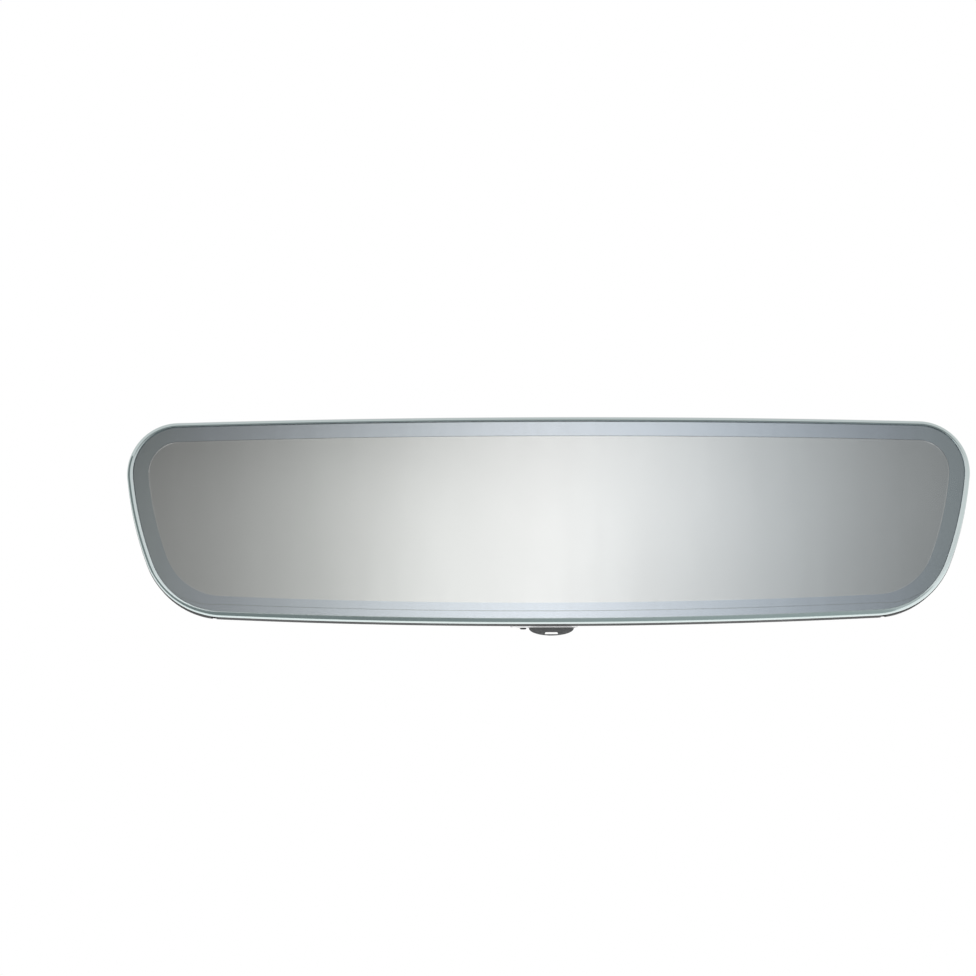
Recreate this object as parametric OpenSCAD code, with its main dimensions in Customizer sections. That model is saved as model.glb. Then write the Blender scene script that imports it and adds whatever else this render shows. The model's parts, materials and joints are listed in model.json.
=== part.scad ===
// Frameless interior rearview mirror with a flip lever, on a ball-jointed windscreen arm.
// Millimetres. +X to the driver's right, +Y forwards to the windscreen, +Z up.
// Origin: centre of the face that is bonded to the windscreen.

/* [Glass] */
// width of the mirror glass
glass_w = 254; // [250:1:258]
// height of the mirror glass
glass_h = 62.5; // [62.5:0.5:65]
// thickness of the front glass
front_t = 2; // [1.8:0.1:2]
// radius ground on the front glass's edge
edge_r = 1.7; // [1.2:0.1:1.7]
// distance from the glass outline to the bright ring
ring_inset = 1.8; // [1.2:0.1:2.2]
// width of the bright ring
ring_w = 4.7; // [3:0.1:6]

/* [Head] */
// depth of the shell, from the mirror face to its back
head_depth = 28; // [28:0.5:30]
// width of the opening for the ball socket
socket_gap_w = 41; // [41:0.5:43]
// height of the opening for the ball socket
socket_gap_h = 31; // [31:0.5:32]

/* [Flip lever and button] */
// width of the finger tab
lever_w = 13.6; // [12:0.2:13.6]
// sideways place of the lever
lever_x = 0.9; // [0.7:0.1:1.1]
// how far the tab reaches below the glass
lever_drop = 2.3; // [2.2:0.1:2.8]
// angle the lever swings through
lever_swing = 28; // [26:1:30]
// angle the head tips through when the lever swings
tilt_swing = 4.5; // [4:0.1:4.6]
// sideways place of the menu button
button_x = -7.7; // [-7.9:0.1:-7.7]

/* [Ball and arm] */
// ball radius
ball_r = 8; // [8:0.1:8.1]
// radius of the arm behind its neck
arm_r = 6; // [5.5:0.1:6]
// rake of the windscreen from level
rake = 35; // [33:1:37]

/* [Hidden] */
$fn = 48;
// place of the mirror face's centre
face_y = -77.6;
face_z = -18;
// outline of the glass: crown radii, corner radii and where each arc ends
top_crown_r = 4210;
upper_corner_r = 15.2;
side_r = 84.3;
lower_corner_r = 24.3;
bottom_crown_r = 2286;
upper_corner_end = -2.9;
side_end = -22.4;
// depth of each layer behind the mirror face
ring_back = front_t + 0.1;
coat_front = front_t + 0.3;
rear_front = front_t + 0.4;
rear_back = front_t + 2.2;
shelf_front = front_t + 2.4;
shelf_back = shelf_front + 1.5;
panel_front = shelf_front + 0.1;
panel_back = panel_front + 1.5;
guide_front = panel_back + 0.3;
tray_floor = guide_front + 2.05;
tray_back = tray_floor + 0.8;
board_front = tray_back + 1.55;
board_back = board_front + 1.4;
rim_back = 11.5;
plate_front = 12.5;
plate_back = 13.8;
rail_back = 14;
// display stack half sizes
panel_hw = 107;
panel_hh = 21;
// ball centre
ball_y = 25;
neck_r = 4;
liner_in = ball_r + 0.05;
liner_out = ball_r + 1.5;
seat_in = liner_out + 0.05;
seat_out = ball_r + 4.5;
split_y = 26;
seat_end = 30.2;
// tilt hinge and lever axis
hinge_y = 18;
hinge_z = 14;
base_z = -glass_h / 2;
axis_y = 18;
axis_z = base_z + 4.75;
half_swing = lever_swing / 2;
link_k = sin(tilt_swing) / (2 * sin(half_swing));
crank_r = (hinge_z - axis_z) * link_k / (1 + link_k * cos(half_swing));
crank_y = axis_y - crank_r * sin(half_swing);
crank_z = axis_z + crank_r * cos(half_swing);
tip_z = base_z - lever_drop;
// fixings
post_x = 60;
post_z = glass_h / 2 - 5.65;
shell_screw_x = glass_w / 2 - 12;
shell_screw_z = 8.2;
board_screw_x = 70;
board_screw_z = 15;
notch_x = 101;
// plug socket
plug_x = 44;
plug_z = 2;
plug_back = 27.6;
// light sensor on the back
sensor_x = -50;
sensor_z = 8;
// windscreen foot
foot_hw = 15;
foot_hl = 17;
film_t = 0.4;
button_hl = 14;
elbow_y = -12;

// outline of the glass, as arcs that meet with a common tangent
top_end = 90 - asin((glass_w / 2 - upper_corner_r) / (top_crown_r - upper_corner_r));
c_top = [0, glass_h / 2 - top_crown_r];
c_upper = c_top + (top_crown_r - upper_corner_r) * [cos(top_end), sin(top_end)];
c_side = c_upper + (upper_corner_r - side_r) * [cos(upper_corner_end), sin(upper_corner_end)];
c_lower = c_side + (side_r - lower_corner_r) * [cos(side_end), sin(side_end)];
lower_end = -acos(c_lower[0] / (bottom_crown_r - lower_corner_r));
c_bottom = c_lower + (lower_corner_r - bottom_crown_r) * [cos(lower_end), sin(lower_end)];
side_drop = min(0, -glass_h / 2 - (c_bottom[1] - bottom_crown_r));

function arc(c, r, a0, a1, n, drop = 0) = [
    for (i = [0 : n - 1])
        let (a = a0 + (a1 - a0) * i / n)
            [c[0] + r * cos(a), c[1] + drop + r * sin(a)]
];

function half_outline(inset) = concat(
    arc(c_top, top_crown_r - inset, 90, top_end, 6),
    arc(c_upper, upper_corner_r - inset, top_end, 0, 11),
    arc(c_upper, upper_corner_r - inset, 0, upper_corner_end, 1, side_drop),
    arc(c_side, side_r - inset, upper_corner_end, side_end, 4, side_drop),
    arc(c_lower, lower_corner_r - inset, side_end, lower_end, 9, side_drop),
    arc(c_bottom, bottom_crown_r - inset, lower_end, -90, 6, side_drop),
    [[0, c_bottom[1] + side_drop - bottom_crown_r + inset]]
);

function outline(inset) =
    let (h = half_outline(inset), n = len(h))
        concat(h, [for (i = [n - 2 : -1 : 1]) [-h[i][0], h[i][1]]]);

module in_head() {
    translate([0, face_y, face_z])
        children();
}

module at_foot() {
    rotate([-rake, 0, 0])
        children();
}

// flat layer between two depths, inset from the glass outline
module layer(y0, y1, inset) {
    translate([0, y1, 0])
        rotate([90, 0, 0])
            linear_extrude(height = y1 - y0)
                polygon(outline(inset));
}

// closed skin through levels of [depth, inset, width scale, height scale]
module loft(levels) {
    n = len(outline(0));
    m = len(levels);
    points = [
        for (l = levels)
            for (p = outline(l[1]))
                [p[0] * l[2], l[0], p[1] * l[3]]
    ];
    sides = [
        for (k = [0 : m - 2])
            for (i = [0 : n - 1])
                [k * n + i, (k + 1) * n + i, (k + 1) * n + (i + 1) % n, k * n + (i + 1) % n]
    ];
    front = [for (i = [0 : n - 1]) i];
    back = [for (i = [n - 1 : -1 : 0]) (m - 1) * n + i];
    polyhedron(points = points, faces = concat([front, back], sides), convexity = 4);
}

module box(x0, x1, y0, y1, z0, z1) {
    translate([x0, y0, z0])
        cube([x1 - x0, y1 - y0, z1 - z0]);
}

module rod_x(x0, x1, y, z, r) {
    translate([x0, y, z])
        rotate([0, 90, 0])
            cylinder(h = x1 - x0, r = r);
}

module rod_y(x, z, y0, y1, r) {
    translate([x, y0, z])
        rotate([-90, 0, 0])
            cylinder(h = y1 - y0, r = r);
}

module rod_z(x, y, z0, z1, r) {
    translate([x, y, z0])
        cylinder(h = z1 - z0, r = r);
}

// screw along Y with its head at the back and a cross recess
module screw_y(x, z, tip, seat, r, head_r, head_h) {
    difference() {
        union() {
            rod_y(x, z, tip, seat, r);
            rod_y(x, z, seat, seat + head_h, head_r);
        }
        box(x - head_r * 0.6, x + head_r * 0.6, seat + head_h / 2, seat + head_h + 1,
            z - 0.25, z + 0.25);
        box(x - 0.25, x + 0.25, seat + head_h / 2, seat + head_h + 1,
            z - head_r * 0.6, z + head_r * 0.6);
    }
}

// ---- windscreen foot and arm ----

module adhesive_film() {
    color("dimgray")
        at_foot()
            box(-10, 10, -button_hl, button_hl, -film_t, 0);
}

module dovetail(y0, y1, top, bottom, half_top, half_bottom) {
    translate([0, y1, 0])
        rotate([90, 0, 0])
            linear_extrude(height = y1 - y0)
                polygon([
                    [-half_bottom, bottom],
                    [half_bottom, bottom],
                    [half_top, top],
                    [-half_top, top]
                ]);
}

module windscreen_button() {
    color("silver")
        at_foot()
            dovetail(-button_hl, button_hl, -film_t, -5, 10, 12);
}

module mirror_arm() {
    color([0.1, 0.1, 0.1])
        difference() {
            union() {
                in_head()
                    translate([0, ball_y, 0])
                        rotate([-90, 0, 0])
                            arm_profile();
                translate([0, elbow_y, face_z])
                    sphere(r = arm_r + 1);
                at_foot()
                    foot_block();
            }
            at_foot() {
                dovetail(-foot_hl - 1, button_hl + 0.05, -0.2, -5.03, 9.95, 12.05);
                rod_z(0, -12.5, -12, -4, 2.5);
            }
            in_head()
                rod_y(0, 0, 19, 28.2, 1.5);
        }
}

// stud, neck and arm turned about the arm's axis, from the ball centre outwards
module arm_profile() {
    arm_len = elbow_y - face_y - ball_y;
    rotate_extrude()
        polygon([
            [0, -4.95],
            [3, -4.95],
            [3, 7.5],
            [neck_r, 7.5],
            [neck_r, 15],
            [arm_r, 20],
            [arm_r, arm_len],
            [0, arm_len]
        ]);
}

module foot_block() {
    elbow_l = face_z * cos(rake) + elbow_y * sin(rake);
    elbow_v = elbow_y * cos(rake) - face_z * sin(rake);
    difference() {
        box(-foot_hw, foot_hw, -foot_hl, foot_hl, -11, -1);
        for (s = [-1, 1])
            translate([s * foot_hw, -foot_hl - 1, -11])
                rotate([0, 45, 0])
                    translate([-1.4, 0, -1.4])
                        cube([2.8, 2 * foot_hl + 2, 2.8]);
    }
    rod_z(0, elbow_v, elbow_l, -9, arm_r - 0.5);
    box(-2, 2, elbow_v - 10, elbow_v + 12, -14, -10.5);
}

module foot_set_screw() {
    color("dimgray")
        at_foot()
            difference() {
                rod_z(0, -12.5, -12.5, -5.03, 2.5);
                rod_z(0, -12.5, -13, -10, 1.4);
            }
}

module ball_screw() {
    color("silver")
        in_head()
            difference() {
                union() {
                    rod_y(0, 0, 18.4, 20, 4);
                    rod_y(0, 0, 20, 28, 1.5);
                }
                rod_y(0, 0, 18, 19.2, 1.3);
            }
}

// ---- ball joint ----

// ring turned about the arm's axis through the ball centre, from its half section
module turned() {
    translate([0, ball_y, 0])
        rotate([-90, 0, 0])
            rotate_extrude()
                children();
}

// half section of a spherical shell between two heights
module shell_section(r_in, r_out, low, high) {
    difference() {
        intersection() {
            circle(r = r_out);
            translate([0, low])
                square([r_out + 1, high - low]);
        }
        circle(r = r_in);
    }
}

module pivot_ball() {
    color("silver")
        in_head()
            turned()
                difference() {
                    intersection() {
                        circle(r = ball_r);
                        translate([3.05, -10])
                            square([10, 20]);
                    }
                    translate([0, -10])
                        square([4.3, 5.05]);
                }
}

module ball_liner() {
    color("ivory")
        in_head()
            turned()
                shell_section(liner_in, liner_out, -8.7, 4.6);
}

module socket_bracket() {
    color("gray")
        in_head()
            difference() {
                union() {
                    turned()
                        shell_section(seat_in, seat_out, 14 - ball_y, split_y - ball_y);
                    for (s = [-1, 1]) {
                        rod_y(s * 15.5, 0, 21, split_y, 3.4);
                        box(min(s * 10, s * 15.5), max(s * 10, s * 15.5), 21, split_y, -3.4, 3.4);
                        rod_x(min(s * 9, s * 13), max(s * 9, s * 13), hinge_y, hinge_z, 3.2);
                        box(min(s * 9, s * 13), max(s * 9, s * 13), hinge_y - 3.2, hinge_y + 3.2,
                            5, hinge_z);
                    }
                    box(lever_x - 1.5, lever_x + 1.5, 14.2, crank_y + 2.55, crank_z - 1.6, -10);
                }
                rod_x(-20, 20, hinge_y, hinge_z, 1.55);
                for (s = [-1, 1])
                    rod_y(s * 15.5, 0, 20, split_y + 1, 1.25);
                box(lever_x - 3, lever_x + 3, crank_y - 1.15, crank_y + 1.15,
                    crank_z - 3, crank_z + 1.8);
            }
}

module socket_retainer() {
    color("gray")
        in_head()
            difference() {
                union() {
                    turned()
                        shell_section(seat_in, seat_out, split_y - ball_y, seat_end - ball_y);
                    for (s = [-1, 1]) {
                        rod_y(s * 15.5, 0, split_y, 28.2, 3.4);
                        box(min(s * 10, s * 15.5), max(s * 10, s * 15.5), split_y, 28.2,
                            -3.4, 3.4);
                    }
                }
                for (s = [-1, 1])
                    rod_y(s * 15.5, 0, split_y - 1, 29, 1.25);
            }
}

module retainer_screws() {
    color("silver")
        in_head()
            for (s = [-1, 1])
                screw_y(s * 15.5, 0, 21.5, 28.2, 1.2, 2.4, 1.5);
}

// ---- glass cell ----

module front_glass() {
    color([0.8, 0.9, 0.9, 0.4])
        in_head()
            loft([
                [0, edge_r, 1, 1],
                [edge_r * 0.134, edge_r * 0.5, 1, 1],
                [edge_r * 0.5, edge_r * 0.134, 1, 1],
                [edge_r, 0, 1, 1],
                [front_t, 0, 1, 1]
            ]);
}

module perimeter_ring() {
    color("silver")
        in_head()
            difference() {
                layer(front_t, ring_back, ring_inset);
                layer(front_t - 1, ring_back + 1, ring_inset + ring_w);
            }
}

module edge_seal() {
    color("dimgray")
        in_head()
            difference() {
                layer(ring_back, coat_front, ring_inset + 0.4);
                layer(ring_back - 1, coat_front + 1, ring_inset + ring_w);
            }
}

module dimming_gel() {
    color([0.6, 0.8, 0.8, 0.5])
        in_head()
            layer(front_t, coat_front, ring_inset + ring_w);
}

module reflector_coating() {
    color("lightgray")
        in_head()
            layer(coat_front, rear_front, ring_inset + 0.4);
}

module rear_glass() {
    color([0.8, 0.9, 0.9, 0.4])
        in_head()
            layer(rear_front, rear_back, 0.9);
}

// thin metal strip that wraps the rear glass's edge and lies on its back
module bus_clip(z0, z1) {
    intersection() {
        union() {
            difference() {
                layer(rear_front, shelf_front - 0.02, 0.65);
                layer(rear_front - 1, shelf_front + 1, 0.87);
            }
            difference() {
                layer(rear_back + 0.02, shelf_front - 0.02, 0.65);
                layer(rear_back - 1, shelf_front + 1, 3.4);
            }
        }
        box(-90, 90, 0, 10, z0, z1);
    }
}

module bus_clip_top() {
    color("goldenrod")
        in_head()
            bus_clip(0, 40);
}

module bus_clip_bottom() {
    color("goldenrod")
        in_head()
            bus_clip(-40, 0);
}

module glass_tape() {
    color("dimgray")
        in_head()
            difference() {
                layer(rear_back, shelf_front, 1.1);
                layer(rear_back - 1, shelf_front + 1, 3.4);
                box(-92, 92, 0, 10, -40, 40);
            }
}

// ---- carrier ----

// drain groove across the bottom edge, near one end of the head
module notch(s, y0, top) {
    box(s * notch_x - 0.7, s * notch_x + 0.7, y0, 17, -glass_h, top);
}

module carrier_frame() {
    color([0.12, 0.12, 0.12])
        in_head()
            difference() {
                union() {
                    difference() {
                        layer(ring_back, rim_back, 0);
                        layer(ring_back - 1, shelf_front, 0.6);
                        layer(shelf_back, rim_back + 1, 2);
                    }
                    for (s = [-1, 1])
                        for (t = [-1, 1]) {
                            rod_y(s * post_x, t * post_z, shelf_front + 0.5, plate_front, 2.5);
                            rod_y(s * shell_screw_x, t * shell_screw_z, shelf_front + 0.5,
                                rim_back, 3.2);
                        }
                }
                box(-panel_hw - 1.25, panel_hw + 1.25, 0, 20, -panel_hh - 1.25, panel_hh + 1.25);
                rod_y(glass_w / 2 - 10.5, 0, 0, 20, 2.1);
                for (s = [-1, 1]) {
                    for (t = [-1, 1]) {
                        rod_y(s * post_x, t * post_z, shelf_back, 20, 0.95);
                        rod_y(s * shell_screw_x, t * shell_screw_z, shelf_back, 20, 1.15);
                    }
                    notch(s, ring_back - 1, base_z + 2.7);
                    notch(s, shelf_front + 0.5, base_z + 3.85);
                }
            }
}

module frame_screws() {
    color("silver")
        in_head()
            for (s = [-1, 1])
                for (t = [-1, 1])
                    screw_y(s * post_x, t * post_z, 7, 14, 0.95, 1.8, 1.2);
}

// ---- display stack ----

module display_panel() {
    color([0.08, 0.1, 0.1])
        in_head()
            box(-panel_hw, panel_hw, panel_front, panel_back, -panel_hh, panel_hh);
}

module diffuser_film() {
    color("white")
        in_head()
            box(-panel_hw, panel_hw, panel_back, guide_front, -panel_hh, panel_hh);
}

module light_guide() {
    color([0.85, 0.9, 0.9, 0.6])
        in_head()
            box(-panel_hw, panel_hw, guide_front, guide_front + 2, -panel_hh + 2.2, panel_hh);
}

module backlight_strip() {
    color("ivory")
        in_head()
            box(-panel_hw + 2, panel_hw - 2, guide_front + 0.1, guide_front + 1.9,
                -panel_hh + 0.1, -panel_hh + 0.9);
}

module backlight_leds() {
    color("lightyellow")
        in_head()
            for (i = [-10 : 10])
                box(i * 10 - 1.4, i * 10 + 1.4, guide_front + 0.3, guide_front + 1.7,
                    -panel_hh + 0.9, -panel_hh + 2);
}

module display_tray() {
    color("lightgray")
        in_head()
            difference() {
                union() {
                    box(-panel_hw - 1.15, panel_hw + 1.15, panel_front + 0.4, tray_back,
                        -panel_hh - 1.15, panel_hh + 1.15);
                    box(-panel_hw - 4, panel_hw + 4, shelf_back, shelf_back + 0.8,
                        -panel_hh - 1.7, panel_hh + 1.7);
                    for (s = [-1, 1])
                        for (t = [-1, 1])
                            rod_y(s * board_screw_x, t * board_screw_z, tray_floor + 0.2,
                                board_front, 2.2);
                }
                box(-panel_hw - 0.2, panel_hw + 0.2, 0, tray_floor, -panel_hh - 0.2,
                    panel_hh + 0.2);
                for (s = [-1, 1])
                    for (t = [-1, 1])
                        rod_y(s * board_screw_x, t * board_screw_z, tray_floor - 0.5, 20, 1);
            }
}

// ---- electronics ----

module main_board() {
    color("darkgreen")
        in_head()
            difference() {
                box(-75, 75, board_front, board_back, -19, 19);
                for (s = [-1, 1])
                    for (t = [-1, 1])
                        rod_y(s * board_screw_x, t * board_screw_z, 0, 20, 1.2);
            }
}

module board_screws() {
    color("silver")
        in_head()
            for (s = [-1, 1])
                for (t = [-1, 1])
                    screw_y(s * board_screw_x, t * board_screw_z, tray_floor + 0.1, board_back,
                        1, 1.9, 1);
}

// boxes on the board: [x, z, width, height, depth]
board_parts = [
    [-32, -6, 14, 14, 1.4],
    [-33, 11, 9, 7, 1.1],
    [-62, -4, 8, 8, 3.2],
    [-60, 13, 6, 5, 2.4],
    [30, -12, 7, 7, 3],
    [44, -13, 10, 6, 1.6],
    [62, -6, 9, 9, 3.6],
    [63, 8, 5, 7, 2]
];

module board_components() {
    color([0.15, 0.15, 0.15])
        in_head()
            for (p = board_parts)
                box(p[0] - p[2] / 2, p[0] + p[2] / 2, board_back, board_back + p[4],
                    p[1] - p[3] / 2, p[1] + p[3] / 2);
}

module ambient_sensor() {
    color([0.15, 0.15, 0.15])
        in_head()
            box(sensor_x - 2, sensor_x + 2, board_back, board_back + 1.5, sensor_z - 2,
                sensor_z + 2);
}

module ambient_lens() {
    color([0.3, 0.3, 0.35, 0.7])
        in_head() {
            rod_y(sensor_x, sensor_z, board_back + 2, head_depth - 0.1, 2.5);
            rod_y(sensor_x, sensor_z, head_depth - 4.6, head_depth - 3.4, 3.6);
        }
}

module glare_sensor() {
    color([0.15, 0.15, 0.2])
        in_head()
            rod_y(glass_w / 2 - 10.5, 0, shelf_front + 0.1, shelf_back + 1.3, 2);
}

module glare_sensor_board() {
    color("darkgreen")
        in_head()
            box(glass_w / 2 - 14, glass_w / 2 - 7, shelf_back + 1.3, shelf_back + 2.3,
                -4.2, 4.2);
}

module plug_pins_at(r) {
    for (i = [0 : 5])
        for (t = [-1, 1])
            box(plug_x - 5 + 2 * i - r, plug_x - 5 + 2 * i + r, board_back, board_back + 9,
                plug_z + t * 1.5 - r, plug_z + t * 1.5 + r);
}

module plug_socket() {
    color("ivory")
        in_head()
            difference() {
                box(plug_x - 9, plug_x + 9, board_back, plug_back, plug_z - 5.5, plug_z + 5.5);
                box(plug_x - 8, plug_x + 8, board_back + 5, plug_back + 1, plug_z - 4.5,
                    plug_z + 4.5);
                plug_pins_at(0.35);
            }
}

module plug_pins() {
    color("gold")
        in_head()
            plug_pins_at(0.32);
}

// ---- tilt frame, lever and button ----

module tilt_frame() {
    color("slategray")
        in_head()
            difference() {
                union() {
                    box(-22, 22, plate_front, plate_back, -post_z - 2.6, post_z + 2.6);
                    for (t = [-1, 1])
                        box(-post_x - 2.6, post_x + 2.6, plate_front, rail_back, t * post_z - 2.3,
                            t * post_z + 2.3);
                    for (s = [-1, 1]) {
                        rod_x(min(s * 13.3, s * 16), max(s * 13.3, s * 16), hinge_y, hinge_z, 3.2);
                        box(min(s * 13.3, s * 16), max(s * 13.3, s * 16), plate_front, hinge_y,
                            hinge_z - 3.2, hinge_z + 3.2);
                        rod_x(lever_x + min(s * 3.9, s * 5.7), lever_x + max(s * 3.9, s * 5.7),
                            axis_y, axis_z, 2.2);
                        box(lever_x + min(s * 3.9, s * 5.7), lever_x + max(s * 3.9, s * 5.7),
                            plate_front, axis_y, axis_z - 1.6, axis_z + 2.2);
                    }
                    box(button_x - 2, button_x + 2, plate_front, axis_y + 2.2, axis_z + 2,
                        axis_z + 3);
                }
                rod_x(-20, 20, hinge_y, hinge_z, 1.5);
                rod_x(-20, 20, axis_y, axis_z, 1.25);
                for (s = [-1, 1])
                    for (t = [-1, 1])
                        rod_y(s * post_x, t * post_z, 0, 20, 1.1);
                for (s = [-1, 1])
                    box(min(s * 5, s * 19), max(s * 5, s * 19), 0, 20, -17, -2);
                box(lever_x - 1.4, lever_x + 1.4, plate_back, 20, -post_z - 3, -post_z + 3);
            }
}

module hinge_pin() {
    color("silver")
        in_head()
            rod_x(-16.5, 16.5, hinge_y, hinge_z, 1.5);
}

module lever_pin() {
    color("silver")
        in_head()
            rod_x(lever_x - 6, lever_x + 6, axis_y, axis_z, 1.25);
}

module detent_spring() {
    color("goldenrod")
        in_head() {
            box(lever_x - 1.2, lever_x + 1.2, plate_back, 18.4, axis_z + 2.6, axis_z + 2.9);
            box(lever_x - 1.2, lever_x + 1.2, plate_back, plate_back + 0.3, axis_z + 2.6,
                axis_z + 8);
        }
}

module flip_lever() {
    color([0.15, 0.15, 0.15])
        in_head()
            difference() {
                union() {
                    rod_x(lever_x - 3.6, lever_x + 3.6, axis_y, axis_z, 2.4);
                    for (s = [-1, 1])
                        crank_web(s);
                    rod_x(lever_x - 3.3, lever_x + 3.3, crank_y, crank_z, 1);
                    lever_tab();
                }
                rod_x(lever_x - 10, lever_x + 10, axis_y, axis_z, 1.3);
            }
}

module crank_web(s) {
    translate([lever_x + s * 2.6 - 0.7, axis_y, axis_z])
        rotate([half_swing, 0, 0])
            translate([0, -1.6, 0])
                cube([1.4, 3.2, crank_r]);
    rod_x(lever_x + s * 2.6 - 0.7, lever_x + s * 2.6 + 0.7, crank_y, crank_z, 1.6);
}

// finger tab that ends in half an ellipse and leans back a little, with a tapered window
module lever_tab() {
    lean = 8;
    reach = (axis_z - tip_z) / cos(lean);
    moon_h = 2.2;
    translate([lever_x, axis_y, axis_z])
        rotate([lean, 0, 0])
            translate([0, 0.8, 0])
                rotate([90, 0, 0])
                    linear_extrude(height = 1.6)
                        difference() {
                            union() {
                                translate([-3.6, -reach + moon_h])
                                    square([7.2, reach - moon_h]);
                                translate([-lever_w / 2, -reach + moon_h - 0.1])
                                    square([lever_w, 0.7]);
                                polygon([for (a = [0 : -6 : -180])
                                    [lever_w / 2 * cos(a), -reach + moon_h * (1 + sin(a))]]);
                            }
                            polygon([
                                [-2.05, -reach + 0.33],
                                [2.05, -reach + 0.33],
                                [1.8, -reach + 1.02],
                                [-1.8, -reach + 1.02]
                            ]);
                        }
}

module menu_button() {
    color([0.15, 0.15, 0.15])
        in_head() {
            rod_z(button_x, axis_y, base_z - 0.35, base_z + 2.05, 1);
            rod_z(button_x, axis_y, base_z - 0.5, base_z - 0.3, 0.8);
            rod_z(button_x, axis_y, base_z + 2.05, base_z + 2.85, 1.9);
            rod_z(button_x, axis_y, base_z + 2.85, axis_z - 0.7, 0.8);
        }
}

module button_switch() {
    color("gray")
        in_head() {
            rod_z(button_x, axis_y, axis_z - 0.1, axis_z + 0.3, 0.8);
            box(button_x - 1.7, button_x + 1.7, axis_y - 1.8, axis_y + 1.8, axis_z + 0.3,
                axis_z + 2);
        }
}

// ---- rear shell ----

// outer skin of the shell, from its rim to its back
outer_levels = [
    [rim_back, 0, 1, 1],
    [14.5, 0.5, 1, 1],
    [18, 2.6, 1, 1],
    [head_depth - 6.5, 6.5, 1, 1],
    [head_depth - 3.5, 11.5, 1, 1],
    [head_depth - 1.2, 11.5, 0.9, 0.76],
    [head_depth, 11.5, 0.76, 0.52]
];

// inner skin, about two millimetres inside the outer one
inner_levels = [
    [rim_back - 1, 2, 1, 1],
    [14.3, 2.4, 1, 1],
    [17.1, 4.3, 1, 1],
    [head_depth - 7.8, 8, 1, 1],
    [head_depth - 5.1, 12.6, 1, 1],
    [head_depth - 3, 12.6, 0.89, 0.74],
    [head_depth - 2, 12.6, 0.75, 0.5]
];

// foot of the shell round the lever, a little proud of the bottom edge, with sloping ends
module lever_boss() {
    intersection() {
        translate([-12, 0, 0])
            rotate([90, 0, 90])
                linear_extrude(height = 22)
                    polygon([
                        [rim_back, base_z],
                        [14.2, base_z - 0.2],
                        [17, base_z - 0.2],
                        [20, base_z],
                        [23, base_z + 0.5],
                        [25, base_z + 2],
                        [25, base_z + 12],
                        [23.5, base_z + 11.5],
                        [20.8, base_z + 7.1],
                        [17.5, base_z + 3.4],
                        [14.4, base_z + 1.4],
                        [rim_back, base_z + 0.9]
                    ]);
        translate([0, 30, 0])
            rotate([90, 0, 0])
                linear_extrude(height = 25)
                    polygon([
                        [-12, base_z + 15],
                        [-12, base_z + 0.52],
                        [-9.4, base_z - 0.2],
                        [8.4, base_z - 0.2],
                        [10, base_z + 0.4],
                        [10, base_z + 15]
                    ]);
    }
}

module lever_boss_inside() {
    translate([-9.8, 0, 0])
        rotate([90, 0, 90])
            linear_extrude(height = 17.9)
                polygon([
                    [rim_back - 1, base_z + 2],
                    [22.6, base_z + 2],
                    [23.2, base_z + 3],
                    [23.2, base_z + 16],
                    [rim_back - 1, base_z + 16]
                ]);
}

module socket_gap() {
    r = 12;
    w = socket_gap_w / 2 - r;
    h = socket_gap_h / 2 - r;
    translate([0, 40, 0])
        rotate([90, 0, 0])
            linear_extrude(height = 22)
                union() {
                    for (s = [-1, 1])
                        for (t = [-1, 1])
                            translate([s * w, t * h])
                                circle(r = r);
                    square([2 * w + 2 * r, 2 * h], center = true);
                    square([2 * w, 2 * h + 2 * r], center = true);
                }
}

module rear_housing() {
    color([0.1, 0.1, 0.1])
        in_head()
            difference() {
                union() {
                    difference() {
                        union() {
                            loft(outer_levels);
                            lever_boss();
                        }
                        loft(inner_levels);
                        lever_boss_inside();
                    }
                    for (s = [-1, 1])
                        for (t = [-1, 1])
                            rod_y(s * shell_screw_x, t * shell_screw_z, rim_back + 0.1, 20.4, 3.2);
                }
                socket_gap();
                box(lever_x - lever_w / 2 - 0.3, lever_x + lever_w / 2 + 0.3, 14.2, 20.9,
                    base_z - 5, base_z + 3);
                rod_z(button_x, axis_y, base_z - 5, base_z + 3, 1.06);
                for (s = [-1, 1])
                    notch(s, rim_back - 1, base_z + 3.85);
                box(plug_x - 9.2, plug_x + 9.2, 20, 40, plug_z - 5.7, plug_z + 5.7);
                rod_y(sensor_x, sensor_z, 20, 40, 2.56);
                for (s = [-1, 1])
                    for (t = [-1, 1]) {
                        rod_y(s * shell_screw_x, t * shell_screw_z, 5, 40, 1.3);
                        rod_y(s * shell_screw_x, t * shell_screw_z, 18, 40, 2.8);
                    }
                for (s = [-1, 1])
                    for (i = [0 : 5])
                        box(s * (64 + 6 * i) - 1, s * (64 + 6 * i) + 1, 20, 40, -8, 8);
            }
}

module shell_screws() {
    color("dimgray")
        in_head()
            for (s = [-1, 1])
                for (t = [-1, 1])
                    screw_y(s * shell_screw_x, t * shell_screw_z, 7, 18, 1.1, 2.5, 1.6);
}

adhesive_film();
windscreen_button();
mirror_arm();
foot_set_screw();
ball_screw();
pivot_ball();
ball_liner();
socket_bracket();
socket_retainer();
retainer_screws();
front_glass();
perimeter_ring();
edge_seal();
dimming_gel();
reflector_coating();
rear_glass();
bus_clip_top();
bus_clip_bottom();
glass_tape();
carrier_frame();
frame_screws();
display_panel();
diffuser_film();
light_guide();
backlight_strip();
backlight_leds();
display_tray();
main_board();
board_screws();
board_components();
ambient_sensor();
ambient_lens();
glare_sensor();
glare_sensor_board();
plug_socket();
plug_pins();
tilt_frame();
hinge_pin();
lever_pin();
detent_spring();
flip_lever();
menu_button();
button_switch();
rear_housing();
shell_screws();
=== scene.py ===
import json
import math

import bmesh
import bpy
from mathutils import Matrix, Vector


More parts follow.
